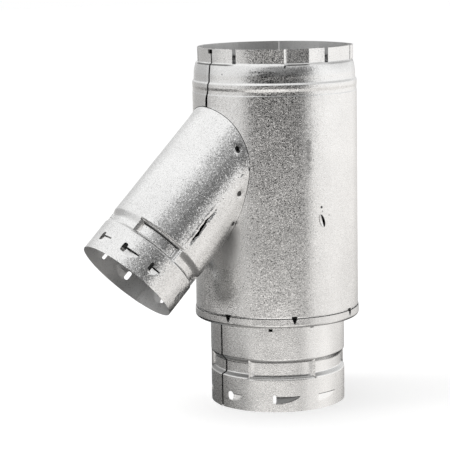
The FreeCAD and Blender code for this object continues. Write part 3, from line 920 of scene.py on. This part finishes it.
class Nodes:
    """A material's or world's node tree with short calls."""

    def __init__(self, tree):
        self.tree = tree
        tree.nodes.clear()

    def add(self, kind, inputs=(), **settings):
        node = self.tree.nodes.new("ShaderNode" + kind)
        for name, value in settings.items():
            setattr(node, name, value)
        for name, value in dict(inputs).items():
            if isinstance(value, bpy.types.NodeSocket):
                self.tree.links.new(value, node.inputs[name])
            else:
                node.inputs[name].default_value = value
        return node

    def place(self):
        """Each point's place on the object, in metres."""
        return self.add("TexCoord").outputs["Object"]

    def math(self, operation, first, second=0.0):
        return self.add("Math", {0: first, 1: second}, operation=operation).outputs[0]

    def times(self, first, second):
        return self.math("MULTIPLY", first, second)

    def vector(self, operation, first, second=(0, 0, 0), scale=1.0):
        """Vector maths. Socket 3 is the scale."""
        node = self.add("VectorMath", {0: first, 1: second, 3: scale}, operation=operation)
        single = operation in ("DISTANCE", "DOT_PRODUCT", "LENGTH")
        return node.outputs["Value" if single else "Vector"]

    def noise(self, place, scale, detail, rough=0.5):
        inputs = {"Vector": place, "Scale": scale, "Detail": detail, "Roughness": rough}
        return self.add("TexNoise", inputs).outputs[0]

    def camera_ray(self):
        return self.add("LightPath").outputs["Is Camera Ray"]

    def attribute(self, name):
        return self.add("Attribute", attribute_name=name).outputs["Fac"]

    def output(self, shader, kind="OutputMaterial"):
        self.add(kind, {"Surface": shader.outputs[0]})

    def spread(self, value, low, high, new_low, new_high, kind="LINEAR"):
        inputs = {"Value": value, "From Min": low, "From Max": high, "To Min": new_low, "To Max": new_high}
        return self.add("MapRange", inputs, interpolation_type=kind).outputs[0]

    def mix(self, first, second, share):
        """Two colours mixed. Sockets 6 and 7 are the colours and output 2 is the result."""
        return self.add("Mix", {0: share, 6: first, 7: second}, data_type="RGBA").outputs[2]

    def blend(self, first, second, share):
        """Two numbers mixed. Sockets 2 and 3 are the numbers."""
        return self.add("Mix", {0: share, 2: first, 3: second}, data_type="FLOAT").outputs[0]


def new_material(name):
    material = bpy.data.materials.new(name)
    material.use_nodes = True
    return material, Nodes(material.node_tree)


def galvanised(name, bright, rough, rugged, marks=()):
    """Zinc-coated sheet: a fine mottled spangle whose grains tilt, shade and gloss a little apart.

    Rugged is how far the grains tilt and how dark the pits are.
    """
    material, nodes = new_material(name)
    place = nodes.place()
    grains = nodes.add("TexVoronoi", {"Vector": place, "Scale": 1350.0, "Randomness": 1.0})
    fine = nodes.noise(place, 1500.0, 1.0, 0.6)
    cloud = nodes.noise(place, 30.0, 3.0, 0.55)
    grain = nodes.add("SeparateColor", {"Color": grains.outputs["Color"]})
    shade = nodes.spread(grain.outputs[0], 0, 1, 0.96, 1.03)
    shade = nodes.times(shade, nodes.spread(fine, 0.28, 0.40, 1 - 0.8 * rugged, 1.0, "SMOOTHSTEP"))
    shade = nodes.times(shade, nodes.spread(cloud, 0.3, 0.7, 0.95, 1.03))
    for point, middle, half, stays in marks:
        away = nodes.vector("DISTANCE", place, tuple(point * MM))
        if middle:
            away = nodes.math("ABSOLUTE", nodes.math("SUBTRACT", away, middle * MM))
        shade = nodes.times(shade, nodes.spread(away, half * MM * 0.65, half * MM, stays, 1.0, "SMOOTHSTEP"))
    painted_shade_and_marks, inside = nodes.attribute("painted_shade_and_marks"), nodes.attribute("inside")
    # Painted shade: the attribute darkens the colour where shade falls in creases, grooves, gaps and the
    # joint, and at a few dark marks.
    shade = nodes.times(shade, nodes.spread(painted_shade_and_marks, 0, 1, bright, bright * 0.02))
    colour = nodes.vector("SCALE", ZINC, scale=shade)
    gloss = nodes.spread(grain.outputs[1], 0, 1, rough - 0.06, rough + 0.1)
    gloss = nodes.blend(gloss, 0.5, inside)
    gloss = nodes.math("MAXIMUM", gloss, painted_shade_and_marks)
    tilt = nodes.vector("SUBTRACT", grains.outputs["Color"], (0.5, 0.5, 0.5))
    reach = nodes.math("POWER", nodes.vector("LENGTH", tilt), 2.0)
    reach = nodes.times(reach, nodes.spread(inside, 0, 1, rugged, rugged * 0.3))
    tilt = nodes.vector("SCALE", tilt, scale=reach)
    bump = nodes.add("Bump", {"Height": fine, "Strength": 0.5, "Distance": 0.00015})
    facing = nodes.vector("NORMALIZE", nodes.vector("ADD", bump.outputs[0], tilt))
    nodes.output(nodes.add("BsdfPrincipled", {
        "Base Color": colour, "Metallic": 1.0, "Roughness": gloss, "Normal": facing,
    }))
    return material


def aluminium(name):
    """Mill-finish sheet with faint rolling lines."""
    material, nodes = new_material(name)
    place = nodes.place()
    stretched = nodes.add("Mapping", {"Vector": place, "Scale": (60.0, 60.0, 900.0)})
    lines = nodes.noise(stretched.outputs[0], 1.0, 3.0)
    cloud = nodes.noise(place, 40.0, 2.0)
    shade = nodes.times(nodes.spread(lines, 0.3, 0.7, 0.42, 0.5), nodes.spread(cloud, 0.3, 0.7, 0.92, 1.04))
    colour = nodes.vector("SCALE", ALUMINIUM, scale=shade)
    gloss = nodes.spread(lines, 0.3, 0.7, 0.3, 0.42)
    surface = {"Base Color": colour, "Metallic": 1.0, "Roughness": gloss}
    nodes.output(nodes.add("BsdfPrincipled", surface))
    return material


# The camera of the photograph, fitted to the object's outline.
CAMERA_DISTANCE = 1572.98
CAMERA_HEIGHT = 393.72
CAMERA_AZIMUTH = 32.1
CAMERA_PITCH = 0.1529
CAMERA_YAW = -0.02796
CAMERA_ROLL = 0.01655
FOCAL_PIXELS = 1849.485
PICTURE_PIXELS = 450
SENSOR = 36.0

# The studio's brightness above and below the table's edge. A card is a round soft patch of it: its
# turn to the right of the camera's side, its elevation, its inner and outer radius in degrees, and
# its level. The cool card has no level.
SKY = 1.06
SKY_CARDS = (
    (-60, -43, 89, 107, 0.87), (-132, -13, 2, 52, 0.5), (2, -22, 37, 55, 0.0), (9, 27, 4, 27, 0.27),
    (130, 51, 19, 60, 0.68), (172, -10, 12, 36, 0.8), (180, -4, 3, 13, 0.25), (42, 16, 5, 24, 0.13),
)
TABLE = 0.711
TABLE_CARDS = (
    (-83, -21, 35, 53, 0.26), (-136, -74, 55, 85, 0.0), (0, -90, 40, 62, 0.3),
    (3, 11, 48, 66, 1.12), (43, -12, 3, 17, 0.85), (92, -31, 6, 25, 0.95),
)
TABLE_EDGE = (-0.12, -0.26)
WHITE = (1, 1, 1, 1)
WARM = (1.0, 0.975, 0.95, 1)
COOL = (0.86, 0.95, 1.0, 1)
COOL_CARD = (-150, -32, 8, 26)
# The floor glows for the camera alone, and more inside the foot, where it shows through the tabs.
FLOOR_GLOW = 0.33
FOOT_GLOW = 0.6
KEY_POWER = 10.0

TURN = math.radians(CAMERA_AZIMUTH)
TO_SIDE = Vector((math.cos(TURN), -math.sin(TURN), 0))
AHEAD = Vector((math.sin(TURN), math.cos(TURN), 0))
UP = Vector((0, 0, 1))


def add_camera():
    forward = ((TO_SIDE * math.sin(CAMERA_YAW) + AHEAD * math.cos(CAMERA_YAW)) * math.cos(CAMERA_PITCH)
               - UP * math.sin(CAMERA_PITCH))
    right = TO_SIDE * math.cos(CAMERA_YAW) - AHEAD * math.sin(CAMERA_YAW)
    above = right.cross(forward)
    x = right * math.cos(CAMERA_ROLL) - above * math.sin(CAMERA_ROLL)
    y = right * math.sin(CAMERA_ROLL) + above * math.cos(CAMERA_ROLL)
    place = -AHEAD * CAMERA_DISTANCE * MM + UP * CAMERA_HEIGHT * MM
    data = bpy.data.cameras.new("camera")
    data.sensor_width = SENSOR
    data.lens = FOCAL_PIXELS * SENSOR / PICTURE_PIXELS
    data.clip_end = 50
    camera = new_object("camera", data)
    camera.matrix_world = Matrix.Translation(place) @ Matrix((x, y, -forward)).transposed().to_4x4()
    bpy.context.scene.camera = camera


def add_floor():
    """A white table. Metal shows the studio's lower half instead of it."""
    mesh = bpy.data.meshes.new("floor")
    mesh.from_pydata([(-9, -9, 0), (9, -9, 0), (9, 9, 0), (-9, 9, 0)], [], [(0, 1, 2, 3)])
    floor = new_object("floor", mesh)
    material, nodes = new_material("floor")
    diffuse = nodes.add("BsdfDiffuse", {"Color": (0.86, 0.86, 0.86, 1)})
    away = nodes.vector("LENGTH", nodes.place())
    level = nodes.spread(away, 0.050, 0.054, FLOOR_GLOW + FOOT_GLOW, FLOOR_GLOW)
    glow = nodes.add("Emission", {"Color": WHITE, "Strength": level})
    both = nodes.add("AddShader", {0: diffuse.outputs[0], 1: glow.outputs[0]})
    shown = {0: nodes.camera_ray(), 1: diffuse.outputs[0], 2: both.outputs[0]}
    nodes.output(nodes.add("MixShader", shown))
    mesh.materials.append(material)
    floor.visible_glossy = False


def studio_direction(azimuth, elevation):
    """A direction by its turn to the right of the camera's side and its height in degrees."""
    azimuth, elevation = math.radians(azimuth), math.radians(elevation)
    level = TO_SIDE * math.sin(azimuth) - AHEAD * math.cos(azimuth)
    return tuple(level * math.cos(elevation) + UP * math.sin(elevation))


def add_world():
    """A white studio with a dark camera side, a grey left and a shaded table below."""
    world = bpy.data.worlds.new("studio")
    bpy.context.scene.world = world
    world.use_nodes = True
    nodes = Nodes(world.node_tree)
    direction = nodes.add("TexCoord").outputs["Generated"]

    def on_card(azimuth, elevation, inner, outer):
        """How far each direction lies within a round card with a soft edge."""
        facing = nodes.vector("DOT_PRODUCT", direction, studio_direction(azimuth, elevation))
        low, high = (math.cos(math.radians(edge)) for edge in (outer, inner))
        return nodes.spread(facing, low, high, 0, 1, "SMOOTHSTEP")

    def painted(level, cards):
        for *card, bright in cards:
            level = nodes.blend(level, bright, on_card(*card))
        return level

    above = painted(SKY, SKY_CARDS)
    below = painted(TABLE, TABLE_CARDS)
    height = nodes.vector("DOT_PRODUCT", direction, (0, 0, 1))
    share = nodes.spread(height, *TABLE_EDGE, 0, 1, "SMOOTHSTEP")
    level = nodes.blend(above, below, share)
    camera_ray = nodes.camera_ray()
    level = nodes.blend(level, 1.0, camera_ray)

    # The lower half is a little warm, and the left a little cool.
    below = nodes.spread(height, 0.0, -0.12, 0, 1, "SMOOTHSTEP")
    tint = nodes.mix(WHITE, WARM, below)
    tint = nodes.mix(tint, COOL, on_card(*COOL_CARD))
    tint = nodes.mix(tint, WHITE, camera_ray)
    background = nodes.add("Background", {"Color": tint, "Strength": level})
    nodes.output(background, "OutputWorld")


def add_key_light():
    """A lamp that lights the table; metal shows the painted studio instead of it."""
    light = bpy.data.lights.new("key", "AREA")
    light.shape = "RECTANGLE"
    light.size = light.size_y = 1.0
    light.energy = KEY_POWER
    lamp = new_object("key", light)
    target = UP * 0.15
    place = target - TO_SIDE * 1.3 - AHEAD * 0.2 + UP * 1.5
    lamp.location = place
    lamp.visible_glossy = False
    lamp.rotation_euler = (target - place).to_track_quat("-Z", "Y").to_euler()


add_camera()
add_floor()
add_world()
add_key_light()
bpy.context.scene.view_settings.view_transform = "Standard"

body_marks = [(ring_points(float(body_profile(up)), turn, up), *rest) for turn, up, *rest in BODY_MARKS]
branch_dimple_shade = [(to_branch(ring_points(BRANCH_R - 0.9, turn, up)), *rest) for turn, up, *rest in BRANCH_DIMPLE_SHADE]
coats = {
    "galvanised_body": (0.9, 0.21, 0.24, body_marks),
    "galvanised_branch": (0.9, 0.22, 0.62, branch_dimple_shade),
    "galvanised_collar": (0.96, 0.25, 0.1),
    "galvanised_cap": (0.88, 0.24, 0.16),
}
metals = {name: galvanised(name, *values) for name, values in coats.items()}
metals["liner_aluminium"] = aluminium("liner_aluminium")
finish_piece(outer_body(), "outer_body", "galvanised_body")
finish_piece(branch_tube(), "branch_outer_tube", "galvanised_branch")
finish_piece(bottom_collar(), "bottom_collar", "galvanised_collar")
finish_piece(cap_ring(), "bottom_cap_ring", "galvanised_cap")
finish_piece(liner_body(), "liner_body", "liner_aluminium")
finish_piece(liner_reducer(), "liner_reducer", "liner_aluminium")
finish_piece(liner_branch(), "liner_branch", "liner_aluminium")
